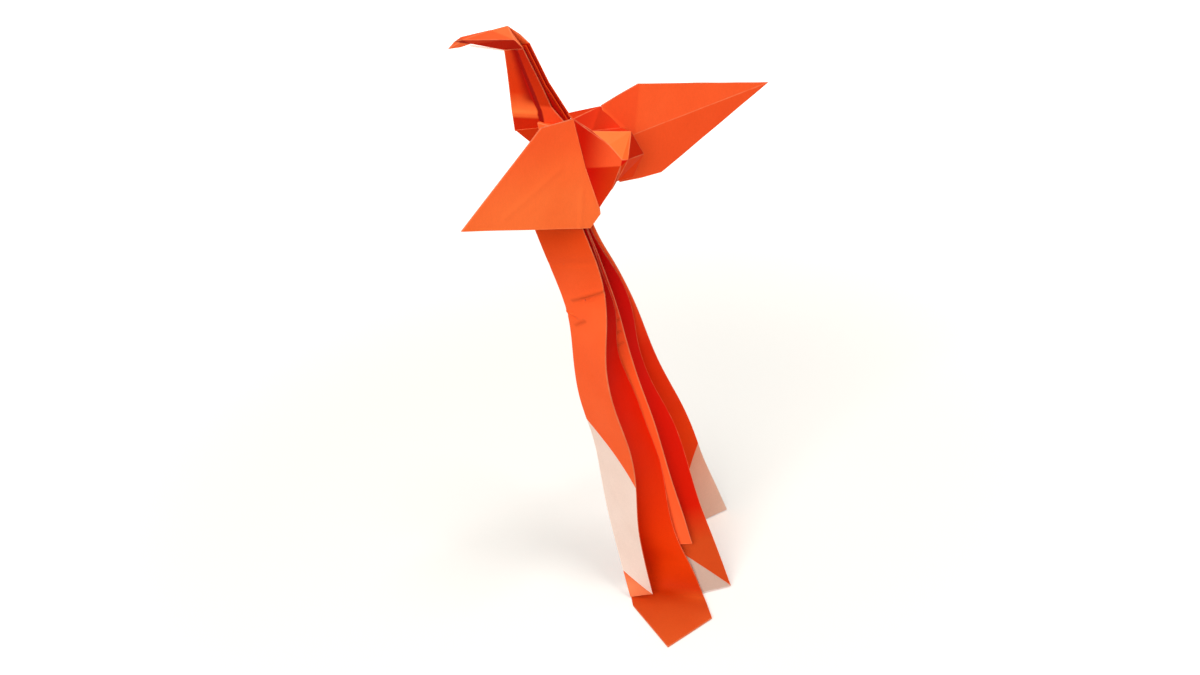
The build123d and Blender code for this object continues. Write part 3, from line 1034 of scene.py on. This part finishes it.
THROAT = (15.5, 178.5)
N_FRONT = (15.6, 171.0)
N_BREAST = (16.0, 160.5)
BASE_FRONT = (16.0, 154.0)
BASE_BACK = (2.1, 154.0)
BACK_LOW = (-0.3, 158.3)
BACK_MIDDLE = (5.1, 168.2)
BACK_TOP = (9.5, 179.6)
for k in range(1, 5):
    outline = [THROAT, N_FRONT, N_BREAST, BASE_FRONT, BASE_BACK, BACK_LOW, BACK_MIDDLE, BACK_TOP]
    ring = [profile(p, PITCH * k) for p in outline]
    centre = sum(ring) / len(ring)
    faces = [[centre, a, b] for a, b in zip(ring, ring[1:] + ring[:1])]
    # Painted shade: the layers are drawn dark red and orange red in turn
    shade = tone(172, 14, 3, 0.9) if k % 2 else tone(222, 62, 18, 0.85)
    sheet(
        "neck_layer_%d" % k,
        faces,
        NECK_THICK,
        levels=4,
        seed=30 + k,
        cockle=0.05,
        outward=-SIDEWAYS,
        tints=[shade] * len(faces),
        crisp=False,
    )
spine = []
for a, b in zip((THROAT, N_FRONT, N_BREAST), (N_FRONT, N_BREAST, BASE_FRONT)):
    spine.append([profile(a, 0), profile(b, 0), profile(b, 4 * PITCH), profile(a, 4 * PITCH)])
sheet(
    "neck_throat",
    spine,
    0.3,
    levels=4,
    seed=36,
    cockle=0.03,
    outward=(FORWARD[0], FORWARD[1], 0),
)

# The near side of the neck: a front band, a narrow trough in painted shade and a back band
f_edge = [
    THROAT, (15.5, 175.0), N_FRONT, (15.75, 165.9), (15.95, 160.4), (16.0, 158.5),
    BASE_FRONT,
]
v_edge = [
    (12.8, 178.7), (11.9, 174.6), (11.1, 171.2), (9.7, 166.2), (8.1, 160.3), (8.2, 158.4),
    (7.7, 154),
]
w_edge = [
    (11.3, 179.0), (10.4, 175.2), (9.5, 171.8), (8.0, 166.8), (6.5, 161.3), (6.3, 158.2),
    (5.8, 154),
]
b_edge = [BACK_TOP, (7.9, 175.5), (6.6, 172.2), (4.9, 167.6), (3.2, 162.6), BACK_LOW, BASE_BACK]
f_row = [profile(p, 0) for p in f_edge]
v_row = [profile(p, TROUGH_FRONT) for p in v_edge]
w_row = [profile(p, TROUGH_BACK) for p in w_edge]
b_row = [profile(p, 0) for p in b_edge]
# Painted light and shade down the bands: a bright band low across the front with darker paper
# above and below it, the back band darker above its foot
front_band_shading = by_height(
    (178.0, tone(204, 56, 16)),
    (166.0, tone(216, 54, 10)),
    (160.2, tone(252, 116, 54)),
    (158.8, tone(250, 108, 48)),
    (158.0, tone(200, 36, 3)),
)
back_band_shading = by_height(
    (179.0, tone(184, 30, 4)),
    (163.0, tone(204, 50, 6)),
    (162.3, tone(240, 76, 30)),
)


def to_trough(points):
    """The front band's tint, with painted shade that deepens towards the trough."""
    ahead_of = (points[:, :2] - ORIGIN) @ FORWARD
    z = points[:, 2]
    rows = [np.array(row[::-1]) for row in (f_edge, v_edge)]
    front_at, trough_at = (np.interp(z, row[:, 1], row[:, 0]) for row in rows)
    share = np.clip((front_at - ahead_of) / np.maximum(front_at - trough_at, 0.5), 0, 1)
    share = np.clip((share - 0.35) / 0.65, 0, 1) * np.clip((z - 161.5) / 2.5, 0, 1)
    share = (share * share * (3 - 2 * share))[:, None]
    return front_band_shading(points) * (1 - share) + tone(158, 12, 2) * share


neck_faces, neck_shading = [], []
for k in range(6):
    for low, high, shade in (
        (f_row, v_row, to_trough),
        (v_row, w_row, tone(158, 12, 2)),
        (w_row, b_row, back_band_shading),
    ):
        neck_faces += [[low[k], low[k + 1], high[k + 1]], [low[k], high[k + 1], high[k]]]
        neck_shading += [shade, shade]
sheet(
    "neck_side",
    neck_faces,
    NECK_THICK,
    levels=4,
    seed=37,
    cockle=0.03,
    outward=-SIDEWAYS,
    tints=neck_shading,
    least=50,
    bumps=((profile((15.9, 159.6), 0), profile((8.2, 159.6), 0.9), 0.7, 0.3),),
)

# Head
MID = PITCH * 2
head, head_tints = [], []
for side in (-1, 1):

    def h(spot, width):
        return profile(spot, MID + side * width)

    tip, top, under = h((35.0, 176.1), 0), h((32.5, 178.6), 0), h((30.8, 177.0), 0)
    brow, forehead, crown = h((30.0, 180.3), 0), h((20.0, 183.3), 0), h((14.5, 185.1), 0)
    cheek_front, cheek_back = h((29.0, 180.0), 1.26), h((11.8, 181.9), 1.8)
    nape = h((9.2, 179.4), 1.8)
    jaw_front, jaw_back = h((26.6, 178.9), 0.98), h((15.6, 178.2), 1.4)
    lip = h((30.3, 178.9), 0.75)
    # Painted light and shade on the head: the cheeks and jaw dark, a painted shadow in the gape,
    # the crown and beak lighter
    cheek_shade = across(cheek_front, cheek_back, tone(190, 50, 22), tone(166, 26, 2))
    gape_shadow = tone(150, 30, 14)
    for corners, shade in (
        ([tip, top, lip], tone(240, 98, 48)),
        ([top, cheek_front, lip], gape_shadow),
        ([cheek_front, jaw_front, lip], gape_shadow),
        ([top, brow, cheek_front], tone(222, 84, 44, 0.95)),
        ([brow, forehead, cheek_front], tone(250, 96, 50)),
        ([forehead, cheek_back, cheek_front], tone(251, 92, 46)),
        ([forehead, crown, cheek_back], tone(247, 110, 58)),
        ([crown, nape, cheek_back], tone(240, 110, 66)),
        ([cheek_front, cheek_back, jaw_front], cheek_shade),
        ([cheek_back, jaw_back, jaw_front], tone(166, 24, 2)),
        ([cheek_back, nape, jaw_back], tone(160, 20, 2)),
        ([tip, lip, under], tone(238, 104, 54)),
        ([lip, jaw_front, under], tone(234, 98, 48)),
    ):
        head.append(corners)
        head_tints.append(shade)
closed(
    "head",
    head,
    heart=profile((22.0, 180.6), MID),
    levels=4,
    seed=39,
    cockle=0.02,
    tints=head_tints,
    least=24,
    rounds=1,
)
# The white side of the paper shows as a thin strip under the head
strip = ((26.8, 178.75), (15.9, 178.3), (16.1, 177.8), (26.6, 178.1))
lining = [profile(p, MID - 1.15) for p in strip]
sheet(
    "head_lining",
    [lining],
    0.12,
    levels=3,
    seed=40,
    cockle=0.0,
    outward=-SIDEWAYS,
    kinds=[WHITE_SIDE],
)


# Floor and light, in metres
FLOOR_REACH, FLOOR_DROP = 6.0, 0.0002
GLOW_CENTRE = (-0.03, 0.03, 0.0)
# The floor's glow to the camera rises from one strength to another between two distances
GLOW_FROM, GLOW_TO = 0.1, 0.42
GLOW_LOW, GLOW_HIGH = 0.25, 0.85
WORLD_LIGHT, WORLD_SEEN = 0.34, 1.0


def plain(name, colour, rough=0.9):
    m = bpy.data.materials.new(name)
    m.use_nodes = True
    b = m.node_tree.nodes["Principled BSDF"]
    b.inputs["Base Color"].default_value = colour
    b.inputs["Roughness"].default_value = rough
    b.inputs["Specular IOR Level"].default_value = 0.0
    return m


floor_mesh = bpy.data.meshes.new("floor")
R = FLOOR_REACH
floor_mesh.from_pydata([(-R, -R, 0), (R, -R, 0), (R, R, 0), (-R, R, 0)], [], [(0, 1, 2, 3)])
floor = bpy.data.objects.new("floor", floor_mesh)
floor.location.z = -FLOOR_DROP
bpy.context.scene.collection.objects.link(floor)
pale = plain("floor_pale", (0.88, 0.855, 0.80, 1))
nt = pale.node_tree
bsdf = nt.nodes["Principled BSDF"]
out = nt.nodes["Material Output"]
glow = nt.nodes.new("ShaderNodeEmission")
glow.inputs["Color"].default_value = (1, 0.985, 0.94, 1)
path = nt.nodes.new("ShaderNodeLightPath")
seen = nt.nodes.new("ShaderNodeMath")
seen.operation = "MAXIMUM"
nt.links.new(path.outputs["Is Camera Ray"], seen.inputs[0])
nt.links.new(path.outputs["Is Glossy Ray"], seen.inputs[1])
lift = nt.nodes.new("ShaderNodeMath")
lift.operation = "MULTIPLY"
nt.links.new(seen.outputs[0], lift.inputs[0])
# Away from the object the pale floor runs out into white
spot = nt.nodes.new("ShaderNodeTexCoord")
far = nt.nodes.new("ShaderNodeVectorMath")
far.operation = "DISTANCE"
far.inputs[1].default_value = GLOW_CENTRE
nt.links.new(spot.outputs["Object"], far.inputs[0])
spread = nt.nodes.new("ShaderNodeMapRange")
spread.interpolation_type = "SMOOTHSTEP"
spread.inputs["From Min"].default_value = GLOW_FROM
spread.inputs["From Max"].default_value = GLOW_TO
spread.inputs["To Min"].default_value = GLOW_LOW
spread.inputs["To Max"].default_value = GLOW_HIGH
nt.links.new(far.outputs["Value"], spread.inputs["Value"])
nt.links.new(spread.outputs["Result"], lift.inputs[1])
nt.links.new(lift.outputs[0], glow.inputs["Strength"])
add = nt.nodes.new("ShaderNodeAddShader")
nt.links.new(bsdf.outputs[0], add.inputs[0])
nt.links.new(glow.outputs[0], add.inputs[1])
nt.links.new(add.outputs[0], out.inputs["Surface"])
floor_mesh.materials.append(pale)

world = bpy.data.worlds.new("world")
bpy.context.scene.world = world
world.use_nodes = True
wn = world.node_tree
back = wn.nodes["Background"]
back.inputs["Color"].default_value = (1, 1, 1, 1)
wp = wn.nodes.new("ShaderNodeLightPath")
level_mix = wn.nodes.new("ShaderNodeMapRange")
level_mix.inputs["To Min"].default_value = WORLD_LIGHT
level_mix.inputs["To Max"].default_value = WORLD_SEEN
wn.links.new(wp.outputs["Is Camera Ray"], level_mix.inputs["Value"])
wn.links.new(level_mix.outputs["Result"], back.inputs["Strength"])


def lamp(name, where, at, size, watts):
    """A round soft lamp that points at a spot."""
    data = bpy.data.lights.new(name, "AREA")
    data.shape = "DISK"
    data.size = size
    data.energy = watts
    obj = bpy.data.objects.new(name, data)
    bpy.context.scene.collection.objects.link(obj)
    d = np.array(at, float) - np.array(where, float)
    z = -d / np.linalg.norm(d)
    x = np.cross((0, 0, 1), z)
    x /= np.linalg.norm(x)
    y = np.cross(z, x)
    obj.matrix_world = Matrix(
        (
            (x[0], y[0], z[0], where[0]),
            (x[1], y[1], z[1], where[1]),
            (x[2], y[2], z[2], where[2]),
            (0, 0, 0, 1),
        )
    )


centre = (-0.005, 0.0, 0.13)
lamp("soft_left", (-0.68, -1.62, 1.3), centre, size=1.5, watts=30)
lamp("soft_top", (0.27, -0.37, 1.42), centre, size=0.32, watts=6.5)
